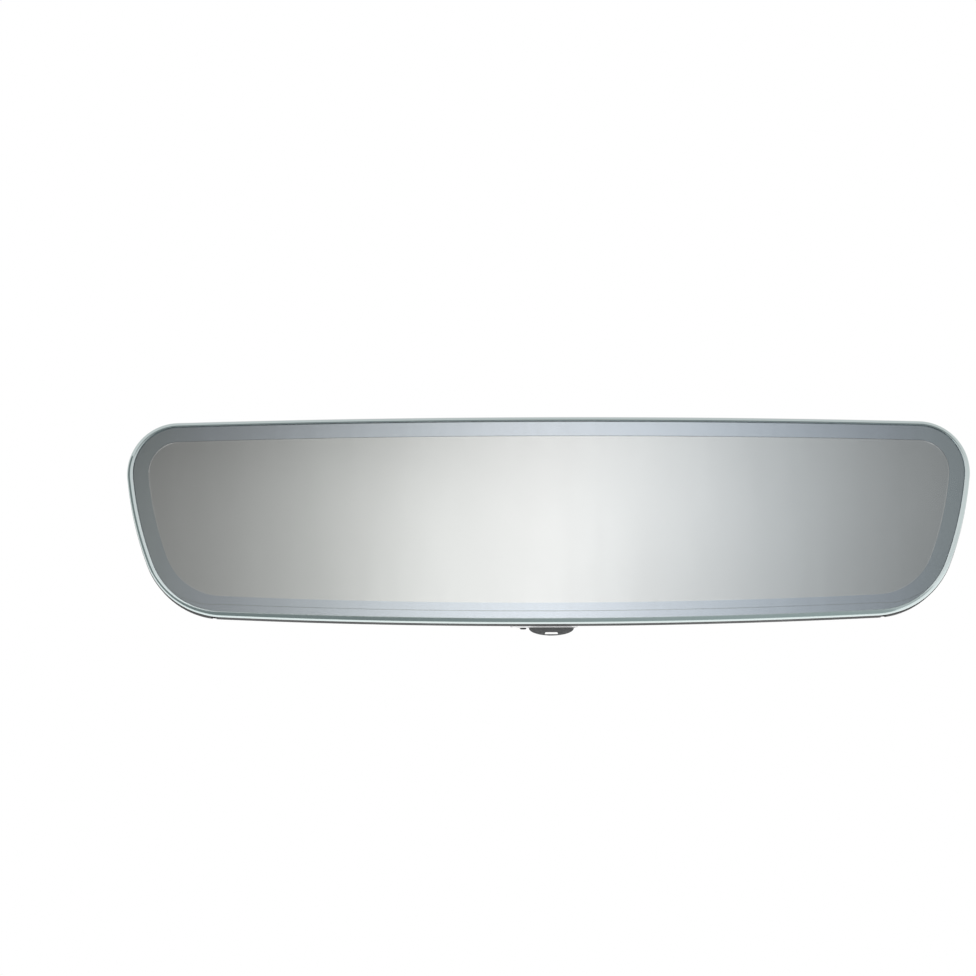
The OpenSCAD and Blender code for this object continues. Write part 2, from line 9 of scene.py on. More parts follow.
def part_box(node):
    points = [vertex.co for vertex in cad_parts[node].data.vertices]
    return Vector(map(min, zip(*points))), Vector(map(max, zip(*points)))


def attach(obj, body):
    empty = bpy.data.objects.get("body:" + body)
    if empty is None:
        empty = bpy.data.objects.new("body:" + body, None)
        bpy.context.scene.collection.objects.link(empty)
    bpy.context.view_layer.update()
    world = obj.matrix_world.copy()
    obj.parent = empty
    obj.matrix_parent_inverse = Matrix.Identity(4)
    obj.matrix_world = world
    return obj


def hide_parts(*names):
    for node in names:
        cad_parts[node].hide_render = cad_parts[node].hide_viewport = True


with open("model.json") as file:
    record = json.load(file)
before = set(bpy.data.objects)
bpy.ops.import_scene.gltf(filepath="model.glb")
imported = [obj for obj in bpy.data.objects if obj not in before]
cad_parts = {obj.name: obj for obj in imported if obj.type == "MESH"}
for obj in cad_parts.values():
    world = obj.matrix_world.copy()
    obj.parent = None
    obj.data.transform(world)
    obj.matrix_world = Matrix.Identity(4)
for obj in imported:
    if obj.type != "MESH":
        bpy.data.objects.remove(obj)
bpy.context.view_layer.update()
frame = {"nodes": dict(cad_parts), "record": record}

# ------------------------------------------------------------------ dimensions in millimetres
# x runs to the right, y is the depth behind the mirror face and z runs up from its centre.
MM = 0.001
glass_low, glass_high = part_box("front_glass")
HALF_W = (glass_high.x - glass_low.x) / 2 / MM
HALF_H = (glass_high.z - glass_low.z) / 2 / MM
FACE = Vector((0, glass_low.y, (glass_high.z + glass_low.z) / 2))
BACK = (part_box("rear_housing")[1].y - FACE.y) / MM
RAKE = math.radians(35)

# Radii of the outline's arcs, and where the side's arc starts and ends.
TOP_CROWN, UPPER_CORNER, SIDE, LOWER_CORNER, BOTTOM_CROWN = 4130, 15.7, 102.2, 24.3, 2160
UPPER_END, SIDE_END = math.radians(-5.7), math.radians(-20.5)

# First and last depth of each layer of the glass cell.
RING_Y = (2.03, 2.09)
GEL_Y = (2.04, 2.28)
SEAL_Y = (2.12, 2.29)
FILM_Y = (2.33, 2.37)
REAR_GLASS_Y = (2.42, 4.18)
EDGE_R = 1.7

# Round the lower corners the glass is drawn in and the carrier stands a little proud.
CORNER_TUCK = 0.16
CORNER_LIP = 0.06

FRAME_SCREW = (60, 25.6)
SHELL_SCREW = (115, 8.2)
SHELL_POST_R = 3.2
NOTCH_X, NOTCH_HALF = 101, 0.7
SHELL_FRONT, SHELL_WALL = 11.5, 2.0
# The shell's dome: its straight rim, the depth of its flat back, how far it draws in over its
# round part, how far it may be drawn in at all, and by what share its back is smaller.
RIM_BAND, BACK_BAND, DRAW_IN, MOST_IN, BACK_LESS_W, BACK_LESS_H = 2.2, 2.5, 11.3, 13.3, 0.245, 0.49
PAST_BACK = 40
SOCKET_HALF_W, SOCKET_HALF_H, SOCKET_CORNER = 20.5, 15.5, 12.0
LEVER_X, LEVER_HALF = 0.9, 13.6 / 2
BUTTON_X, BUTTON_Y = -7.7, 18
PLUG_X, PLUG_Z = 44, 2
LENS_X, LENS_Z = -50, 8
VENTS, FIRST_VENT, VENT_STEP, VENT_HALF = 6, 64, 6, 7
EAR_X, EAR_R = 15.5, 3.4
FOOT_HALF_W, FOOT_HALF_L, FOOT_LOW, FOOT_HIGH = 15.0, 17.0, -11.0, -1.0
ARM_R, ELBOW_Y, BEND = 6.0, -12.0, 9.0


# ------------------------------------------------------------------ outline of the glass
def on(centre, r, a):
    """The point of a circle at angle a."""
    return (centre[0] + r * math.cos(a), centre[1] + r * math.sin(a))


def corner_arcs():
    """The right half's arcs from the top down: centre, radius, first and last angle, points."""
    top_end = math.pi / 2 - math.asin((HALF_W - UPPER_CORNER) / (TOP_CROWN - UPPER_CORNER))
    c0 = (0, HALF_H - TOP_CROWN)
    c1 = on(c0, TOP_CROWN - UPPER_CORNER, top_end)
    c2 = on(c1, UPPER_CORNER - SIDE, UPPER_END)
    c3 = on(c2, SIDE - LOWER_CORNER, SIDE_END)
    low = -math.acos(c3[0] / (BOTTOM_CROWN - LOWER_CORNER))
    c4 = on(c3, LOWER_CORNER - BOTTOM_CROWN, low)
    return [
        (c0, TOP_CROWN, math.pi / 2, top_end, 14),
        (c1, UPPER_CORNER, top_end, UPPER_END, 34),
        (c2, SIDE, UPPER_END, SIDE_END, 12),
        (c3, LOWER_CORNER, SIDE_END, low, 28),
        (c4, BOTTOM_CROWN, low, -math.pi / 2, 14),
    ]


def side_drop():
    """How far the outline below its widest line moves down, so that it reaches the full height."""
    centre, r = corner_arcs()[-1][:2]
    return min(0.0, -HALF_H - (centre[1] - r))


def outline_samples():
    """Points round the whole outline, each with the unit normal that points out of the glass."""
    half = []
    drop = side_drop()
    for centre, r, a0, a1, n in corner_arcs():
        for i in range(n):
            a = a0 + (a1 - a0) * i / n
            x, z = on(centre, r, a)
            half.append(((x, z + (drop if a < 0 else 0.0)), (math.cos(a), math.sin(a))))
    half.append(((0.0, -HALF_H), (0.0, -1.0)))
    left = [((-p[0], p[1]), (-n[0], n[1])) for p, n in reversed(half[1:-1])]
    return half + left


SAMPLES = outline_samples()


def head(x, y, z):
    """Millimetres measured from the centre of the mirror face to the row frame."""
    return Vector((x * MM, FACE.y + y * MM, FACE.z + z * MM))


def foot(x, y, z):
    """Millimetres in the windscreen foot's own frame, whose z is the windscreen's normal."""
    c, s = math.cos(RAKE), math.sin(RAKE)
    return Vector((x, y * c + z * s, -y * s + z * c)) * MM


def facing(u, v, t):
    """Places an outline that is drawn on the mirror face at depth t."""
    return head(u, t, v)


def across(u, w, t):
    """Places a section (depth, height above the glass's lowest line) at x = t."""
    return head(t, u, w - HALF_H)


def along_foot(u, v, t):
    """Places a section of the foot at t along it."""
    return foot(u, t, v)


def four(x, z):
    """The four places at plus and minus x and z."""
    return [(s * x, t * z) for s in (-1, 1) for t in (-1, 1)]


def ring_at(y, inset, sx=1.0, sz=1.0):
    """One closed loop of the outline at depth y. inset may be a number or a rule of the normal."""
    loop = []
    for (x, z), (nx, nz) in SAMPLES:
        d = inset(nx, nz) if callable(inset) else inset
        loop.append(head((x - d * nx) * sx, y, (z - d * nz) * sz))
    return loop


# ------------------------------------------------------------------ mesh helpers
def mesh_object(name, bm):
    """Puts a bmesh into the scene as an object and frees it."""
    mesh = bpy.data.meshes.new(name)
    bm.to_mesh(mesh)
    bm.free()
    obj = bpy.data.objects.new(name, mesh)
    bpy.context.scene.collection.objects.link(obj)
    return obj


def finish_mesh(name, bm, body, sharp, materials, flat_caps=False):
    """Turns a bmesh into a smooth-shaded piece whose edges over the sharp angle stay crisp."""
    bmesh.ops.remove_doubles(bm, verts=bm.verts, dist=1e-7)
    bmesh.ops.recalc_face_normals(bm, faces=bm.faces)
    obj = mesh_object(name, bm)
    crease(obj, sharp, flat_caps)
    for material in materials if isinstance(materials, list) else [materials]:
        obj.data.materials.append(material)
    if body:
        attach(obj, body)
    return obj


def crease(obj, sharp, flat_caps=False):
    """Smooth shading, with edges steeper than sharp degrees kept hard. Caps can be kept dead flat."""
    bm = bmesh.new()
    bm.from_mesh(obj.data)
    limit = math.radians(sharp)
    for f in bm.faces:
        f.smooth = True
    for e in bm.edges:
        e.smooth = len(e.link_faces) == 2 and e.calc_face_angle(0) < limit
    for f in bm.faces:
        if flat_caps and len(f.verts) > 8:
            f.smooth = False
            for e in f.edges:
                e.smooth = False
    bm.to_mesh(obj.data)
    bm.free()


def add_loft(bm, rings, cap_first=True, cap_last=True, slots=None):
    """Skins a list of loops that all have the same number of points."""
    loops = [[bm.verts.new(p) for p in ring] for ring in rings]
    n = len(loops[0])
    for k in range(len(loops) - 1):
        for i in range(n):
            j = (i + 1) % n
            f = bm.faces.new((loops[k][i], loops[k + 1][i], loops[k + 1][j], loops[k][j]))
            if slots:
                f.material_index = slots[k]
    if cap_first:
        bm.faces.new(loops[0])
    if cap_last:
        bm.faces.new(list(reversed(loops[-1])))
    return loops


def circle_loop(centre, u, v, r, n):
    """A circle of n points in the plane of u and v."""
    return [centre + (u * math.cos(t) + v * math.sin(t)) * r for t in
            (2 * math.pi * i / n for i in range(n))]


def add_rod(bm, a, b, r, bevel=0.0):
    """A round bar from a to b, in metres, with a small bevel at both ends if asked."""
    n = 40
    axis = (b - a).normalized()
    u = axis.orthogonal().normalized()
    v = axis.cross(u)
    rings = [circle_loop(a + axis * bevel, u, v, r, n), circle_loop(b - axis * bevel, u, v, r, n)]
    if bevel:
        rings.insert(0, circle_loop(a, u, v, r - bevel, n))
        rings.append(circle_loop(b, u, v, r - bevel, n))
    add_loft(bm, rings)


def add_rods(bm, places, front, back, r, bevel=0.0):
    """Round bars square to the mirror face at each (x, z), in millimetres."""
    for x, z in places:
        add_rod(bm, head(x, front, z), head(x, back, z), r * MM, bevel=bevel * MM)


def add_box(bm, low, high):
    """A box between two corners, in millimetres."""
    v = [bm.verts.new(head(x, y, z)) for x in (low[0], high[0]) for y in (low[1], high[1])
         for z in (low[2], high[2])]
    for q in ((0, 1, 3, 2), (4, 6, 7, 5), (0, 4, 5, 1), (2, 3, 7, 6), (0, 2, 6, 4), (1, 5, 7, 3)):
        bm.faces.new([v[i] for i in q])


def add_prism(bm, points, a, b, place):
    """A flat outline given as (u, w) pairs, swept from a to b. place(u, w, t) puts a point."""
    add_loft(bm, [[place(u, w, a) for u, w in points], [place(u, w, b) for u, w in points]])


def rounded_box(half_w, low, high, r_low, r_high, steps):
    """Outline of a rectangle with rounded corners, from its upper right one round by the left."""
    points = []
    for side, z, r, first in ((1, high - r_high, r_high, 0), (-1, high - r_high, r_high, 90),
                              (-1, low + r_low, r_low, 180), (1, low + r_low, r_low, 270)):
        points += [on((side * (half_w - r), z), r, math.radians(first + 90 * i / steps))
                   for i in range(steps + 1)]
    return points


def upright_slot(x, half_length, r, steps=8):
    """Outline of a slot with round ends that stands at x."""
    return [on((x, end * half_length), r, first + math.pi * i / steps)
            for end, first in ((1, 0.0), (-1, math.pi)) for i in range(steps + 1)]


def cut(obj, build, operation="DIFFERENCE"):
    """Takes the solid that build adds to a bmesh out of obj, or joins it to obj."""
    bm = bmesh.new()
    build(bm)
    bmesh.ops.recalc_face_normals(bm, faces=bm.faces)
    tool = mesh_object("cutter", bm)
    mod = obj.modifiers.new("cut", "BOOLEAN")
    mod.object, mod.operation, mod.solver = tool, operation, "EXACT"
    bake_modifiers(obj)
    bpy.data.objects.remove(tool)


def bake_modifiers(obj):
    """Replaces obj's mesh by what its modifiers make of it."""
    bpy.context.view_layer.update()
    depsgraph = bpy.context.evaluated_depsgraph_get()
    mesh = bpy.data.meshes.new_from_object(obj.evaluated_get(depsgraph))
    obj.modifiers.clear()
    obj.data = mesh


def round_edges(obj, width):
    """Bevels every edge over 35 degrees, width in millimetres."""
    mod = obj.modifiers.new("round", "BEVEL")
    mod.width = width * MM
    mod.segments = 3
    mod.limit_method = "ANGLE"
    mod.angle_limit = math.radians(35)


def dress(obj, body, sharp, *materials):
    """Finishes a piece that booleans have cut: its edges, its materials and its body."""
    crease(obj, sharp)
    obj.data.materials.clear()
    for material in materials:
        obj.data.materials.append(material)
    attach(obj, body)
    return obj


# ------------------------------------------------------------------ materials
class Nodes:
    """A material's node tree with short helpers."""

    def __init__(self, name):
        self.mat = bpy.data.materials.new(name)
        self.mat.use_nodes = True
        self.tree = self.mat.node_tree
        self.tree.nodes.clear()
        self.out = self.add("ShaderNodeOutputMaterial")
        self.shader = self.add("ShaderNodeBsdfPrincipled")
        self.link(self.shader.outputs[0], self.out.inputs[0])
        self.coords = self.add("ShaderNodeTexCoord").outputs["Object"]

    def add(self, kind, **values):
        node = self.tree.nodes.new(kind)
        for key, value in values.items():
            setattr(node, key, value)
        return node

    def link(self, a, b):
        self.tree.links.new(a, b)

    def put(self, **values):
        for key, value in values.items():
            self.shader.inputs[key.replace("_", " ")].default_value = value

    def stretched(self, scale):
        node = self.add("ShaderNodeMapping")
        node.inputs["Scale"].default_value = scale
        self.link(self.coords, node.inputs["Vector"])
        return node.outputs[0]

    def noise(self, scale, detail=3.0, roughness=0.55, coords=None):
        node = self.add("ShaderNodeTexNoise")
        node.inputs["Scale"].default_value = scale
        node.inputs["Detail"].default_value = detail
        node.inputs["Roughness"].default_value = roughness
        self.link(coords or self.coords, node.inputs["Vector"])
        return node.outputs["Fac"]

    def cells(self, scale):
        node = self.add("ShaderNodeTexVoronoi")
        node.inputs["Scale"].default_value = scale
        self.link(self.coords, node.inputs["Vector"])
        return node.outputs["Distance"]

    def position(self):
        """The point's coordinates in metres, as sockets called X, Y and Z."""
        parts = self.add("ShaderNodeSeparateXYZ")
        self.link(self.coords, parts.inputs[0])
        return parts.outputs

    def spread(self, value, low, high, a=0.35, b=0.65, smooth=False):
        """Maps value from a...b to low...high and holds it at both ends."""
        kind = "SMOOTHSTEP" if smooth else "LINEAR"
        node = self.add("ShaderNodeMapRange", interpolation_type=kind)
        for key, number in (("From Min", a), ("From Max", b), ("To Min", low), ("To Max", high)):
            node.inputs[key].default_value = number
        self.link(value, node.inputs["Value"])
        return node.outputs[0]

    def ramp(self, value, stops):
        """Colour by value, from (place, colour) stops."""
        node = self.add("ShaderNodeValToRGB")
        elements = node.color_ramp.elements
        while len(elements) < len(stops):
            elements.new(0.5)
        for e, (place, colour) in zip(elements, stops):
            e.position = place
            e.color = (*colour, 1)
        self.link(value, node.inputs[0])
        return node.outputs[0]

    def math(self, kind, a, b=None):
        node = self.add("ShaderNodeMath", operation=kind)
        for i, x in enumerate((a, b)):
            if isinstance(x, (int, float)):
                node.inputs[i].default_value = x
            elif x is not None:
                self.link(x, node.inputs[i])
        return node.outputs[0]

    def blend(self, a, share, b):
        """A share of a and the rest of b."""
        return self.math("ADD", self.math("MULTIPLY", a, share), self.math("MULTIPLY", b, 1 - share))

    def bump(self, height, strength, distance, after=None):
        """Relief from a height, distance in millimetres, on top of another relief if given."""
        node = self.add("ShaderNodeBump")
        node.inputs["Strength"].default_value = strength
        node.inputs["Distance"].default_value = distance * MM
        self.link(height, node.inputs["Height"])
        if after is not None:
            self.link(after, node.inputs["Normal"])
        self.link(node.outputs[0], self.shader.inputs["Normal"])
        return node.outputs[0]

    def glow(self, colour=(1, 1, 1)):
        """Swaps the surface for a plain light of its own."""
        self.tree.nodes.remove(self.shader)
        emit = self.add("ShaderNodeEmission")
        emit.inputs["Color"].default_value = (*colour, 1)
        self.link(emit.outputs[0], self.out.inputs[0])
        return emit.inputs


def tinted(colour, k):
    """A colour made k times as bright."""
    return tuple(min(1.0, c * k) for c in colour)


def surface(name, colour, rough, metal=0.0, tone=0.1, grain=900, bump=0.15, depth=0.03,
            stretch=None, coat=0.0, worn=None):
    """A finish with fine grain in its colour, its shine and its relief, and larger patches of wear."""
    n = Nodes(name)
    coords = n.stretched(stretch) if stretch else n.coords
    fine = n.noise(grain, 4.0, 0.6, coords)
    patch = n.noise(55, 3.0)
    stops = [(0.3, tinted(colour, 1 - tone)), (0.52, colour), (0.72, tinted(colour, 1 + tone))]
    if worn:
        stops.append((0.86, worn))
    n.link(n.ramp(n.blend(fine, 0.7, patch), stops), n.shader.inputs["Base Color"])
    n.link(n.spread(n.blend(fine, 0.4, patch), max(0.02, rough - 0.09), min(1.0, rough + 0.09)),
           n.shader.inputs["Roughness"])
    n.bump(fine, bump, depth)
    n.put(Metallic=metal, Coat_Weight=coat)
    return n.mat


def grained_plastic(name, colour, rough=0.55, shine=0.45):
    """Moulded plastic with a leather-like cell grain."""
    n = Nodes(name)
    cell = n.cells(1500)
    fine = n.noise(3200, 3.0)
    patch = n.noise(38, 4.0)
    n.link(n.ramp(n.blend(cell, 0.5, patch),
                  [(0.2, tinted(colour, 0.8)), (0.5, colour), (0.8, tinted(colour, 1.35))]),
           n.shader.inputs["Base Color"])
    n.link(n.spread(patch, rough - 0.07, rough + 0.08), n.shader.inputs["Roughness"])
    first = n.bump(cell, 0.35, 0.05)
    n.bump(fine, 0.2, 0.02, after=first)
    n.put(Specular_IOR_Level=shine)
    return n.mat


def clear(name, colour, ior=1.5, rough=0.0):
    """Clear glass or plastic with faint smears."""
    n = Nodes(name)
    smear = n.noise(30, 5.0, 0.65, n.stretched((1.0, 1.0, 0.25)))
    n.link(n.ramp(smear, [(0.35, tinted(colour, 0.985)), (0.7, colour)]),
           n.shader.inputs["Base Color"])
    n.put(Transmission_Weight=1.0, IOR=ior, Roughness=rough)
    return n.mat


def mirror_film(name, colour, streak=0.012, rough=0.06, ends=None):
    """Vacuum-coated silver: faint streaks, a little haze, another tone at both ends if given."""
    n = Nodes(name)
    lines = n.noise(260, 4.0, 0.6, n.stretched((1.0, 1.0, 0.05)))
    both = n.blend(lines, 0.6, n.noise(22, 3.0))

    def film(tone):
        return n.ramp(both, [(0.35, tinted(tone, 1 - streak)), (0.65, tinted(tone, 1 + streak))])

    silver = film(colour)
    if ends:
        mix = n.add("ShaderNodeMixRGB")
        outwards = n.spread(n.math("ABSOLUTE", n.position()["X"]), 0, 1, 0.103, 0.12)
        for source, socket in zip((outwards, silver, film(ends)), mix.inputs):
            n.link(source, socket)
        silver = mix.outputs[0]
    n.link(silver, n.shader.inputs["Base Color"])
    n.link(n.spread(both, rough * 0.85, rough * 1.15), n.shader.inputs["Roughness"])
    n.put(Metallic=1.0)
    return n.mat


def ground_edge(name):
    """The polished round edge of the glass, silvered from behind and a little green. Its colour is
    painted lighter towards the back of the edge as a painted highlight. It is painted darker along the
    top and lighter along the bottom as painted shade and painted light.
    """
    n = Nodes(name)
    edge = n.add("ShaderNodeAttribute", attribute_name="edge").outputs["Fac"]
    chips = n.noise(700, 3.0)
    place = n.math("ADD", edge, n.math("MULTIPLY", n.math("SUBTRACT", chips, 0.5), 0.04))
    # Green of the silvered edge, stepped lighter towards the back of the edge: painted highlight.
    edge_tint_with_painted_highlight = n.ramp(place, [
        (0.0, (0.60, 0.66, 0.665)),
        (0.4, (0.57, 0.65, 0.645)),
        (0.8, (0.62, 0.69, 0.685)),
        (1.0, (0.72, 0.79, 0.79)),
    ])
    # Darker along the top and lighter along the bottom: painted shade and painted light.
    height = n.spread(n.position()["Z"], 1.12, 0.8, FACE.z - 0.03, FACE.z + 0.03)
    edge_colour_with_painted_shade = n.add("ShaderNodeVectorMath", operation="SCALE")
    n.link(edge_tint_with_painted_highlight, edge_colour_with_painted_shade.inputs[0])
    n.link(height, edge_colour_with_painted_shade.inputs["Scale"])
    n.link(edge_colour_with_painted_shade.outputs[0], n.shader.inputs["Base Color"])
    n.link(n.spread(chips, 0.08, 0.16), n.shader.inputs["Roughness"])
    n.bump(n.noise(1500, 2.0), 0.05, 0.01)
    n.put(Metallic=1.0)
    return n.mat


# The finishes, by short name.
FINISH = {
    "glass": clear("clear_glass_face", (0.988, 0.991, 0.989)),
    "edge": ground_edge("glass_ground_edge"),
    "mirror": mirror_film("silver_coating", (0.9, 0.9, 0.9)),
    "ring": mirror_film("bright_ring_coating", (0.688, 0.737, 0.8), 0.02, 0.06, (0.69, 0.75, 0.775)),
    # Darker coating for the ring's dull bands: painted shade.
    "painted_shade_band": mirror_film("ring_painted_shade_line", (0.53, 0.57, 0.6), 0.03, 0.12),
    "gel": clear("gel_clear", (0.985, 0.988, 0.986), 1.02),
    "plastic": grained_plastic("black_grained_plastic", (0.022, 0.023, 0.024)),
    "rim": grained_plastic("black_carrier_plastic", (0.034, 0.036, 0.037), 0.6, 0.12),
    # Faces under the boss: the black plastic painted pale grey and glossy, a painted highlight for the
    # bright strip between the housing and the lever.
    "underside": grained_plastic("painted_highlight_boss_bottom", (0.64, 0.64, 0.64), 0.18, 1.0),
    # The lever: the black plastic made about five times lighter, painted light for the light it
    # catches from below.
    "lever": grained_plastic("lightened_lever_painted_light", (0.115, 0.119, 0.12), 0.42, 0.5),
    "cast": surface("black_painted_casting", (0.028, 0.028, 0.03), 0.42, 0.0, 0.2, 1400, 0.4, 0.06,
                    worn=(0.06, 0.06, 0.06)),
    "bracket": surface("as_cast_zinc", (0.42, 0.43, 0.44), 0.42, 0.9, 0.14, 1100, 0.35, 0.05),
    "steel": surface("plated_steel", (0.62, 0.63, 0.64), 0.28, 1.0, 0.06, 1600, 0.1, 0.01,
                     stretch=(1.0, 0.15, 1.0)),
    "dark_steel": surface("black_oxide_steel", (0.06, 0.06, 0.065), 0.36, 0.85, 0.15, 1500, 0.12,
                          0.015),
    "nylon": surface("natural_nylon", (0.72, 0.69, 0.6), 0.42, 0.0, 0.05, 700, 0.1, 0.02),
    "rubber": surface("black_rubber", (0.03, 0.03, 0.03), 0.78, 0.0, 0.15, 1200, 0.2, 0.03),
    "bronze": surface("rolled_bronze", (0.62, 0.42, 0.2), 0.3, 1.0, 0.1, 1500, 0.1, 0.01,
                      stretch=(0.1, 1.0, 1.0)),
    "display": surface("display_black_glass", (0.012, 0.013, 0.015), 0.12, 0.0, 0.1, 300, 0.03, 0.01,
                       coat=0.5),
    "white": surface("white_film_sheet", (0.82, 0.83, 0.83), 0.55, 0.0, 0.03, 500, 0.05, 0.01),
    "acrylic": clear("clear_acrylic_sheet", (0.93, 0.96, 0.97), 1.49, 0.05),
    "board_white": surface("white_solder_mask", (0.75, 0.75, 0.7), 0.35, 0.0, 0.05, 900, 0.1, 0.02),
    "led": surface("phosphor_lens", (0.85, 0.76, 0.3), 0.25, 0.0, 0.06, 1200, 0.08, 0.02, coat=0.4),
    "aluminium": surface("rolled_aluminium", (0.66, 0.67, 0.68), 0.34, 1.0, 0.06, 1300, 0.12, 0.012,
                         stretch=(0.06, 1.0, 1.0)),
    "board": surface("green_solder_mask", (0.015, 0.13, 0.05), 0.3, 0.0, 0.3, 380, 0.12, 0.02,
                     coat=0.3),
    "chip": surface("moulded_epoxy", (0.03, 0.03, 0.032), 0.6, 0.0, 0.15, 1600, 0.15, 0.02),
    "lens": surface("smoked_lens_plastic", (0.035, 0.035, 0.045), 0.1, 0.0, 0.1, 500, 0.03, 0.01,
                    coat=0.8),
    "gold": surface("gold_flash", (0.83, 0.62, 0.25), 0.22, 1.0, 0.06, 1500, 0.06, 0.01),
}
# The finish of each material slot.
SLOTS = {
    "black_adhesive": "rubber", "steel": "steel", "dark_steel": "dark_steel",
    "black_casting": "cast", "grey_casting": "bracket", "nylon": "nylon", "clear_glass": "glass",
    "chrome_ring": "ring", "seal_rubber": "rubber", "clear_gel": "gel", "mirror_film": "mirror",
    "clip_bronze": "bronze", "black_plastic": "plastic", "display_black": "display",
    "white_film": "white", "clear_acrylic": "acrylic", "white_board": "board_white",
    "led_lens": "led", "aluminium_sheet": "aluminium", "green_board": "board",
    "chip_black": "chip", "smoked_lens": "lens", "gold_pin": "gold",
}

# ------------------------------------------------------------------ carried-over CAD nodes
slot_of = {s["node"]: s["material_slot"] for s in frame["record"]["subparts"]}
# Width of the bevel on the edges of CAD nodes, in millimetres.
ROUNDED = {
    "socket_bracket": 0.35, "tilt_frame": 0.15, "windscreen_button": 0.3, "plug_socket": 0.2,
    "flip_lever": 0.22, "menu_button": 0.2, "foot_set_screw": 0.2, "main_board": 0.1,
    "board_components": 0.15, "display_tray": 0.15, "shell_screws": 0.12, "retainer_screws": 0.12,
    "frame_screws": 0.1, "board_screws": 0.1, "ambient_lens": 0.15, "button_switch": 0.15,
}
for name, node in frame["nodes"].items():
    node.data.materials.clear()
    # The lever takes the lightened copy of the black plastic: painted light.
    node.data.materials.append(FINISH["lever" if name == "flip_lever" else SLOTS[slot_of[name]]])
    if name in ROUNDED:
        round_edges(node, ROUNDED[name])


def piece(obj, slot, *nodes):
    """Hides the CAD nodes that obj stands for; obj and slot are not used."""
    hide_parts(*nodes)


# ------------------------------------------------------------------ glass cell
def ring_out(nx, nz):
    """Width of the clear edge outside the ring, which sits a little high and to the right."""
    return 1.72 - 0.15 * nx - 0.47 * max(0.0, nz)


def ring_in(nx, nz):
    """How far the ring's inner edge is from the outline."""
    return 6.38 - 0.12 * nx - 0.65 * max(0.0, nz)


def plus(rule, extra):
    """The rule with something added."""
    return lambda nx, nz: rule(nx, nz) + extra


def round_lower_corners(nx, nz):
    """1 round the two lower corners, 0 along the bottom's middle, the sides and the top."""
    return min(1.0, max(0.0, -nz * 2)) * min(1.0, abs(nx) * 4)


def build_front_glass():
    """The clear pane. Its edge attribute runs from 0 at the face to 1 at the back of the edge."""
    bm = bmesh.new()
    layer = bm.verts.layers.float.new("edge")
    steps = 10
    levels = [(EDGE_R * (1 - math.cos(t)), 1 - math.sin(t))
              for t in (math.pi / 2 * i / steps for i in range(steps + 1))]
    levels += [(1.85, 0.0), (1.97, 0.07)]

    def edge(k):
        def rule(nx, nz):
            tuck = CORNER_TUCK * round_lower_corners(nx, nz)
            return tuck + k * (ring_out(nx, nz) + 0.05 - tuck)
        return rule

    loops = add_loft(bm, [ring_at(y, edge(k)) for y, k in levels], slots=[1] * (len(levels) - 1))
    for k, loop in enumerate(loops):
        for v in loop:
            v[layer] = k / (len(loops) - 1)
    return finish_mesh("front_glass_pane", bm, "head", 40, [FINISH["glass"], FINISH["edge"]], True)


piece(build_front_glass(), "clear_glass", "front_glass")


def painted_shade_band(shift):
    """Inset of a dull band painted into the ring's coating, painted shade that stands for the rear
    glass's edge showing through: off the ring's outer edge only along the bottom.
    """
    def rule(nx, nz):
        round_under = math.degrees(math.atan2(-nz, abs(nx)))
        return ring_out(nx, nz) + 2.05 * min(1.0, max(0.0, (round_under - 46) / 42)) + shift
    return rule


def build_ring():
    """The bright ring, with bands of a darker coating painted in as painted shade: one near its outer
    edge and, at the top, one along its inner edge.
    """
    bm = bmesh.new()
    front, back = RING_Y
    rings = [ring_at(front, plus(ring_out, -0.25)), ring_at(front, painted_shade_band(0.02)),
             ring_at(front, painted_shade_band(0.28)),
             # At the top, a thin band along the ring's inner edge: a painted shadow line.
             ring_at(front, lambda nx, nz: ring_in(nx, nz) - 0.2 * max(0.0, nz)),
             ring_at(front, plus(ring_in, 0.01)), ring_at(back, plus(ring_in, 0.01)),
             ring_at(back, ring_out)]
    add_loft(bm, rings + [rings[0]], False, False, [0, 1, 0, 1, 0, 0, 0])
    return finish_mesh("bright_ring", bm, "head", 40, [FINISH["ring"], FINISH["painted_shade_band"]])


piece(build_ring(), "chrome_ring", "perimeter_ring")


def build_seal():
    bm = bmesh.new()
    front, back = SEAL_Y
    inner, outer = plus(ring_in, -0.1), plus(ring_out, 0.5)
    rings = [ring_at(front, outer), ring_at(front, inner), ring_at(back, inner),
             ring_at(back, outer)]
    add_loft(bm, rings + [rings[0]], False, False)
    return finish_mesh("edge_seal_frame", bm, "head", 40, FINISH["rubber"])


def build_plate(name, depths, inset, material):
    """A flat layer with the glass's outline, drawn in by inset."""
    bm = bmesh.new()
    add_loft(bm, [ring_at(y, inset) for y in depths])
    return finish_mesh(name, bm, "head", 40, material, True)


piece(build_plate("silver_film", FILM_Y, 2.3, FINISH["mirror"]), "mirror_film", "reflector_coating")
piece(build_seal(), "seal_rubber", "edge_seal")
piece(build_plate("gel_layer", GEL_Y, plus(ring_in, 0.15), FINISH["gel"]), "clear_gel", "dimming_gel")
piece(build_plate("rear_glass_pane", REAR_GLASS_Y, 1.0, FINISH["glass"]), "clear_glass", "rear_glass")


# ------------------------------------------------------------------ carrier
# Section of the drain groove at each end of the bottom edge: depth, height.
NOTCH = [(1, -3), (17, -3), (17, 3.85), (4.9, 3.85), (4.9, 2.7), (1, 2.7)]


def notches(bm):
    for x in (-NOTCH_X, NOTCH_X):
        add_prism(bm, NOTCH, x - NOTCH_HALF, x + NOTCH_HALF, across)


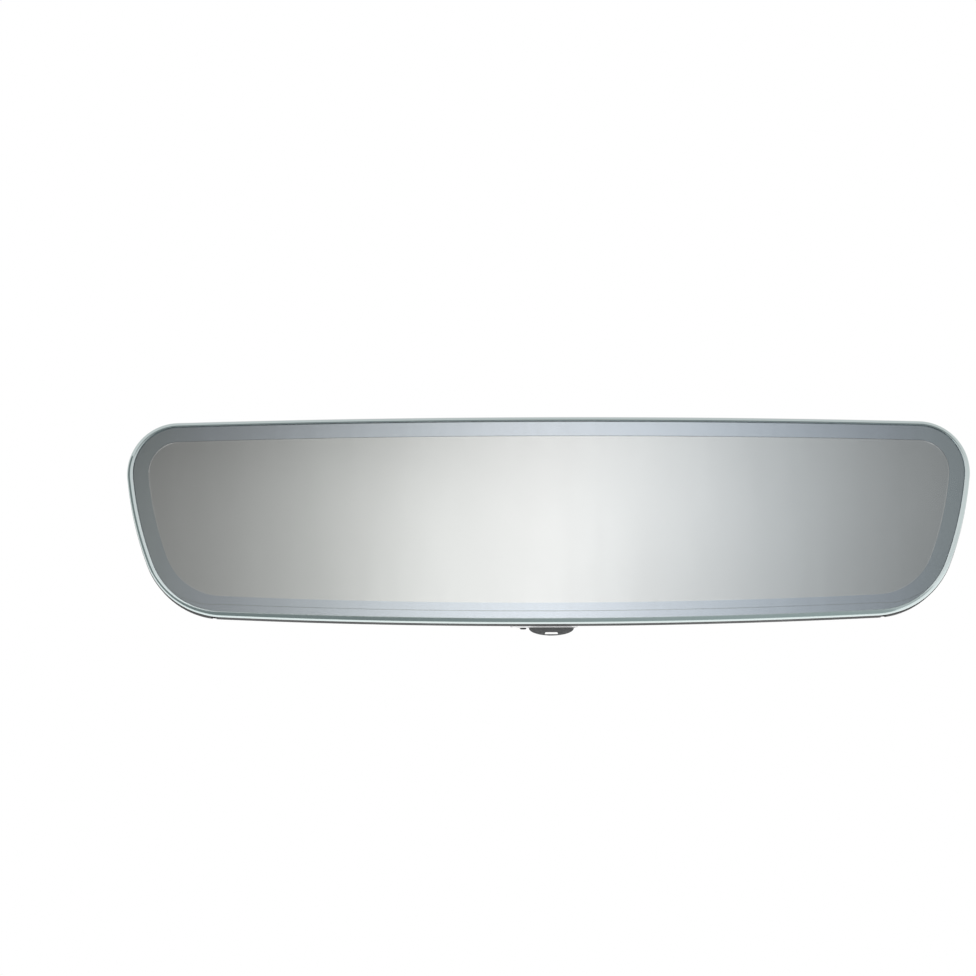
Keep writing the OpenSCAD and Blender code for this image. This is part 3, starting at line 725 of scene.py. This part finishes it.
def build_carrier():
    """The rim round the glass cell, lofted along its section as (depth, inset) pairs."""
    def lip(nx, nz):
        return -CORNER_LIP * round_lower_corners(nx, nz)

    bm = bmesh.new()
    section = [(4.42, 8.9), (4.42, 0.75), (4.3, 0.62), (2.25, 0.62), (2.1, 0.45), (2.14, 0.15),
               (2.35, 0.0), (4.0, lip), (11.2, lip), (11.42, 0.12), (11.42, 1.88), (11.2, 2.0),
               (6.1, 2.0), (5.9, 2.2), (5.9, 8.9)]
    rings = [ring_at(y, d) for y, d in section]
    add_loft(bm, rings + [rings[0]], False, False)
    obj = finish_mesh("carrier_rim", bm, None, 35, FINISH["rim"])
    cut(obj, notches)
    return dress(obj, "head", 35, FINISH["rim"])


def build_carrier_posts():
    bm = bmesh.new()
    add_rods(bm, four(*FRAME_SCREW), 5.5, 12.45, 2.5, 0.2)
    add_rods(bm, four(*SHELL_SCREW), 5.5, 11.45, SHELL_POST_R, 0.2)
    return finish_mesh("carrier_posts", bm, "head", 35, FINISH["rim"])


piece(build_carrier(), "black_plastic", "carrier_frame")
piece(build_carrier_posts(), "black_plastic", "carrier_frame")


# ------------------------------------------------------------------ rear housing
def dome_levels(offset):
    """Rings of the shell's skin from its rim to its back, offset inwards by that much."""
    first, deep = SHELL_FRONT + RIM_BAND, BACK - offset * 1.02
    levels = [(SHELL_FRONT - (0.6 if offset else 0), offset)]
    steps = 16
    for i in range(1, steps + 1):
        a = math.pi / 2 * i / steps
        y = first + (deep - BACK_BAND - first) * math.sin(a) ** 1.1
        levels.append((y, min(offset + 0.25 + DRAW_IN * (1 - math.cos(a)) ** 1.25, MOST_IN)))
    last_y, last_d = levels[-1]
    steps = 8
    for i in range(1, steps + 1):
        t = i / steps
        y = last_y + (deep - last_y) * math.sin(t * math.pi / 2) ** 0.9
        levels.append((y, last_d, 1 - BACK_LESS_W * t, 1 - BACK_LESS_H * t))
    return levels


# The boss under the lever and the button: its section as depth and height, then its stations
# as x and the least height there.
BOSS = [(11.5, 0), (14.2, -0.2), (17, -0.2), (20, 0), (23, 0.5), (24.2, 1.1), (25, 2), (25, 12),
        (23.5, 11.5), (20.8, 7.1), (17.5, 3.4), (14.4, 1.4), (11.5, 0.9)]
BOSS_STATIONS = [(-11.5, 0.52), (-8.9, -0.2), (8.15, -0.2), (8.9, 0.4)]
BOSS_HOLLOW = [(10, 2), (22.2, 2), (22.8, 3), (22.8, 14), (10, 14)]


def build_housing():
    """The rear shell: dome, boss, hollow, screw posts, openings and vents."""
    bm = bmesh.new()
    add_loft(bm, [ring_at(*level) for level in dome_levels(0.0)])
    obj = finish_mesh("rear_shell", bm, None, 35, FINISH["plastic"])

    def boss(b):
        add_loft(b, [[across(y, max(w, least), x) for y, w in BOSS] for x, least in BOSS_STATIONS])

    def hollow(b):
        add_loft(b, [ring_at(*level) for level in dome_levels(SHELL_WALL)])

    def boss_hollow(b):
        add_prism(b, BOSS_HOLLOW, -9.8, 8.1, across)

    def posts(b):
        add_rods(b, four(*SHELL_SCREW), 11.6, 20.3, SHELL_POST_R)

    def socket_opening(b):
        outline = rounded_box(SOCKET_HALF_W, -SOCKET_HALF_H, SOCKET_HALF_H, SOCKET_CORNER,
                              SOCKET_CORNER, 12)
        add_prism(b, outline, 17.5, PAST_BACK, facing)

    def openings(b):
        half = LEVER_HALF + 0.3
        add_box(b, (LEVER_X - half, 14.2, -HALF_H - 5), (LEVER_X + half, 20.9, -HALF_H + 3))
        add_box(b, (PLUG_X - 9.2, 19.5, PLUG_Z - 5.7), (PLUG_X + 9.2, PAST_BACK, PLUG_Z + 5.7))
        notches(b)
        for s in (-1, 1):
            for i in range(VENTS):
                x = s * (FIRST_VENT + VENT_STEP * i)
                add_prism(b, upright_slot(x, VENT_HALF, 1), 20, PAST_BACK, facing)

    def holes(b):
        add_rod(b, head(BUTTON_X, BUTTON_Y, -HALF_H - 5), head(BUTTON_X, BUTTON_Y, -HALF_H + 3),
                1.06 * MM)
        add_rods(b, [(LENS_X, LENS_Z)], 19.5, PAST_BACK, 2.56)
        add_rods(b, four(*SHELL_SCREW), 18, PAST_BACK, 2.8)

    def bores(b):
        add_rods(b, four(*SHELL_SCREW), 5, 19, 1.3)

    cut(obj, boss, "UNION")
    cut(obj, hollow)
    cut(obj, boss_hollow)
    cut(obj, posts, "UNION")
    for build in (socket_opening, openings, holes, bores):
        cut(obj, build)
    dress(obj, "head", 30, FINISH["plastic"], FINISH["underside"])
    # Faces under the boss take the pale grey: a painted highlight on the black plastic.
    lowest = FACE.z - (HALF_H - 0.3) * MM
    for f in obj.data.polygons:
        x, y = f.center.x / MM, (f.center.y - FACE.y) / MM
        on_boss = -11.6 < x < 9.0 and 11.4 < y < 20.2
        f.material_index = 1 if on_boss and f.center.z < lowest and f.normal.z < -0.5 else 0
    return obj


piece(build_housing(), "black_plastic", "rear_housing")


# ------------------------------------------------------------------ ball joint
BALL = head(0, 25, 0)


def lathe(name, profile, body, material):
    """Turns (radius, height along y) pairs in millimetres round the line through the ball."""
    bm = bmesh.new()
    rings = [circle_loop(BALL + Vector((0, y * MM, 0)), Vector((1, 0, 0)), Vector((0, 0, 1)),
                         r * MM, 96) for r, y in profile]
    add_loft(bm, rings + [rings[0]], False, False)
    return finish_mesh(name, bm, body, 35, material)


def ball_arc(r, low, high, n):
    """Points of a sphere's section between two heights, as (radius, height)."""
    a0, a1 = math.asin(low / r), math.asin(high / r)
    return [on((0, 0), r, a0 + (a1 - a0) * i / n) for i in range(n + 1)]


piece(lathe("ball_turned",
            ball_arc(8, -6.74, 7.39, 40) + [(3.05, 7.3), (3.05, -4.9), (4.3, -4.95), (4.3, -6.6)],
            "ball", FINISH["steel"]), "steel", "pivot_ball")
piece(lathe("liner_cup",
            ball_arc(9.5, -8.7, 4.4, 30) + [(8.2, 4.6), (6.8, 4.6)]
            + ball_arc(8.05, -7.9, 4.4, 30)[::-1] + [(1.9, -8.7)],
            "liner", FINISH["nylon"]), "nylon", "ball_liner")


def build_retainer():
    """A collar over the ball with a screw ear on each side."""
    profile = (ball_arc(12.5, 1.0, 4.8, 12) + [(11.4, 5.2), (8.2, 5.2)]
               + ball_arc(9.55, 1.0, 5.0, 12)[::-1])
    obj = lathe("retainer_collar", profile, None, FINISH["bracket"])

    def ears(b):
        for s in (-1, 1):
            arc = [on((EAR_X, 0), EAR_R, math.pi * (i / 24 - 0.5)) for i in range(25)]
            outline = arc + [(10.6, EAR_R), (10.6, -EAR_R)]
            add_prism(b, [(s * x, z) for x, z in outline], 26.0, 28.2, facing)

    def bores(b):
        add_rods(b, [(-EAR_X, 0), (EAR_X, 0)], 25, 29, 1.25)

    cut(obj, ears, "UNION")
    cut(obj, bores)
    return dress(obj, "bracket", 35, FINISH["bracket"])


piece(build_retainer(), "grey_casting", "socket_retainer")


# ------------------------------------------------------------------ arm and windscreen foot
# (distance, radius) stations: the stud and neck behind the ball's centre, the flange past the elbow.
NECK = [(-4.9, 2.8), (-4.7, 3.0), (7.4, 3.0), (7.5, 3.9), (7.7, 4.0), (13.5, 4.0), (15.5, 4.25),
        (18, 5.2), (20.5, 5.85), (23, ARM_R), (28, ARM_R)]
FLANGE = [(9.0, ARM_R), (9.8, 6.15), (10.5, 6.6), (11.0, 7.4), (11.3, 8.6), (13.5, 8.6)]


def build_arm():
    """Stud, neck and arm swept as one casting that bends up into the foot."""
    ball = BALL / MM
    ahead, right = Vector((0, 1, 0)), Vector((1, 0, 0))
    up = Vector((0, math.sin(RAKE), math.cos(RAKE)))
    elbow = Vector((0, ELBOW_Y, ball.z))
    start, end = elbow - ahead * BEND, elbow + up * BEND
    path = [(ball + ahead * y, ahead, r) for y, r in NECK]
    steps = 24
    for i in range(1, steps):
        t = i / steps
        p = start * (1 - t) ** 2 + elbow * 2 * t * (1 - t) + end * t ** 2
        d = ((elbow - start) * (1 - t) + (end - elbow) * t).normalized()
        path.append((p, d, ARM_R))
    path += [(elbow + up * along, up, r) for along, r in FLANGE]
    bm = bmesh.new()
    add_loft(bm, [circle_loop(p * MM, right, d.cross(right), r * MM, 64) for p, d, r in path])
    return finish_mesh("arm_casting", bm, "windscreen_mount", 35, FINISH["cast"])


def build_foot():
    """The block that slides over the windscreen button, with its channel and set screw's bore."""
    bm = bmesh.new()
    add_prism(bm, rounded_box(FOOT_HALF_W, FOOT_LOW, FOOT_HIGH, 2.5, 0.6, 6), -FOOT_HALF_L,
              FOOT_HALF_L, along_foot)
    obj = finish_mesh("foot_casting", bm, None, 35, FINISH["cast"])

    def channel(b):
        section = [(-12.05, -5.03), (12.05, -5.03), (10.0, -0.2), (-10.0, -0.2)]
        add_prism(b, section, -FOOT_HALF_L - 1, 14.05, along_foot)

    def bore(b):
        add_rod(b, foot(0, -12.5, -12), foot(0, -12.5, -4), 2.52 * MM)

    cut(obj, channel)
    cut(obj, bore)
    round_edges(obj, 0.45)
    bake_modifiers(obj)
    return dress(obj, "windscreen_mount", 35, FINISH["cast"])


piece(build_arm(), "black_casting", "mirror_arm")
piece(build_foot(), "black_casting", "mirror_arm")


# ------------------------------------------------------------------ studio, in metres
CAM_RISE, CAM_DIST, ROLL = math.radians(5.4), 1.6, math.radians(0.15)
FRAME_WIDTH = 0.2937
AIM = FACE + Vector((-0.01823, 0, 0.00967))
PANEL_X, PANEL_Y = 0.032, -2.7
PANEL_FALLOFF = 0.218
PANEL_LIGHT = 1.15
CARD_TINT = (0.9, 1, 1)
LOW_CARD_Z, FLOOR_Z = -0.7, -0.75
# Outlines, as (x, y), of the two low cards that the rounded lower edge of the glass reflects.
LOW_CARD = [(0.35, -5), (-0.15, -5), (-0.35, -1.7), (-0.7, -0.85), (-2.0, -0.95), (-2.0, 0.3),
            (-0.7, 0.02), (-0.3, -0.08), (0.35, -0.1)]
SIDE_CARD = [(0.35, -5), (0.35, -0.3), (1.1, -0.8), (1.1, -3)]


def plain_card(name, strength, colour=CARD_TINT):
    n = Nodes(name)
    n.glow(colour)["Strength"].default_value = strength
    return n.mat


def fading_card():
    """A grey card that is brighter on its right."""
    n = Nodes("fading_card")
    n.link(n.spread(n.position()["X"], 0.27, 0.44, -0.07, 0.07), n.glow(CARD_TINT)["Strength"])
    return n.mat


def softbox_material():
    """A panel that is brightest down its middle and fades to grey at both sides and upwards."""
    n = Nodes("softbox_panel")
    light = n.glow()
    x, z = n.position()["X"], n.position()["Z"]
    out = n.math("DIVIDE", x, PANEL_FALLOFF)
    bell = n.math("POWER", math.e, n.math("MULTIPLY", n.math("MULTIPLY", out, out), -1))
    slope = n.math("ADD", n.math("MULTIPLY", x, 0.1), 0.15)
    side = n.math("ADD", n.math("MULTIPLY", bell, 0.85), slope)
    side = n.math("ADD", side, n.spread(x, 0.025, 0, -0.32, -0.25))
    up = n.spread(z, 1.0, 0.78, -0.03, 0.09, smooth=True)
    right = n.math("MULTIPLY", n.spread(x, 0, 1, -0.01, 0.08), n.spread(z, -0.13, 0.05, -0.08, 0.04))
    left = n.math("MULTIPLY", n.spread(x, 1, 0, -0.1, -0.045), n.spread(z, 0, -0.11, 0.02, 0.06))
    corners = n.math("ADD", n.math("ADD", right, left), 1.0)
    level = n.math("MULTIPLY", n.math("MULTIPLY", side, up), corners)
    n.link(n.math("MULTIPLY", level, PANEL_LIGHT), light["Strength"])
    cool = n.ramp(n.math("ADD", n.math("MULTIPLY", x, 1.2), 0.5),
                  [(0.3, (0.985, 1.0, 0.98)), (0.5, (1.0, 1.0, 0.995)), (0.72, (0.925, 0.97, 1.0)),
                   (1.0, (0.93, 0.99, 1.0))])
    n.link(cool, light["Color"])
    return n.mat


def plane(name, centre, half_x, half_z, material, upright=True):
    """A flat rectangle that faces along y when it is upright, or else along z."""
    bm = bmesh.new()
    spots = [(x * half_x, z * half_z) for x, z in ((-1, -1), (1, -1), (1, 1), (-1, 1))]
    bm.faces.new([bm.verts.new((x, 0, z) if upright else (x, z, 0)) for x, z in spots])
    obj = mesh_object(name, bm)
    obj.location = centre
    obj.data.materials.append(material)
    return obj


def flat_card(name, points, material):
    """A card just above the floor with the given outline."""
    bm = bmesh.new()
    bm.faces.new([bm.verts.new((x, y, LOW_CARD_Z)) for x, y in points])
    obj = finish_mesh(name, bm, None, 35, material)
    return obj


def glossy_only(obj):
    """Keeps a studio card out of everything but reflections."""
    obj.visible_camera = False
    obj.visible_diffuse = False
    obj.visible_shadow = False


panel_z = FACE.z - (PANEL_Y - FACE.y) * math.tan(CAM_RISE)
glossy_only(plane("softbox_panel", (PANEL_X, PANEL_Y, panel_z), 0.75, 0.75, softbox_material()))
glossy_only(plane("card_above", (0, -3.0, 2.35), 3.0, 1.2, plain_card("above_card", 0.37)))
left_card = plane("card_left", (-2.0, -0.44, 0), 0.86, 0.9, plain_card("grey_card", 0.32))
left_card.rotation_euler = (0, 0, math.pi / 2)
glossy_only(left_card)
glossy_only(flat_card("card_below", LOW_CARD, fading_card()))
glossy_only(flat_card("card_below_right", SIDE_CARD, plain_card("pale_card", 0.6, (0.95, 1, 1))))
floor_paint = surface("pale_floor_paint", (0.86, 0.86, 0.86), 0.6, 0.0, 0.02, 40, 0.02, 0.05)
plane("studio_floor", (0, 0, FLOOR_Z), 5, 5, floor_paint, upright=False)

scene = bpy.context.scene
world = bpy.data.worlds.new("studio_world")
world.use_nodes = True
world.node_tree.nodes["Background"].inputs["Color"].default_value = (1, 1, 1, 1)
world.node_tree.nodes["Background"].inputs["Strength"].default_value = 1.0
scene.world = world


def area_light(name, place, size, power):
    """A square lamp that points at the mirror and shows in no reflection."""
    lamp = bpy.data.lights.new(name, "AREA")
    lamp.shape, lamp.size, lamp.energy = "SQUARE", size, power
    obj = bpy.data.objects.new(name, lamp)
    obj.location = place
    way = Vector((0, -0.03, -0.02)) - Vector(place)
    obj.rotation_euler = way.to_track_quat("-Z", "Y").to_euler()
    obj.visible_glossy = False
    scene.collection.objects.link(obj)


area_light("key_light", (-1.6, -1.6, 2.0), 1.2, 28)
area_light("back_light", (1.6, 2.0, 1.9), 1.2, 30)


# ------------------------------------------------------------------ camera
look = Vector((0, math.cos(CAM_RISE), math.sin(CAM_RISE)))
optics = bpy.data.cameras.new("camera")
optics.sensor_width = 36
optics.lens = optics.sensor_width * CAM_DIST / FRAME_WIDTH
optics.clip_start, optics.clip_end = 0.05, 100
camera = bpy.data.objects.new("camera", optics)
camera.location = AIM - look * CAM_DIST
level_view = look.to_track_quat("-Z", "Y").to_matrix()
camera.rotation_euler = (level_view @ Matrix.Rotation(-ROLL, 3, "Z")).to_euler()
scene.collection.objects.link(camera)
scene.camera = camera

scene.view_settings.view_transform = "Standard"
scene.view_settings.look = "None"
scene.view_settings.exposure = 0
scene.view_settings.gamma = 1
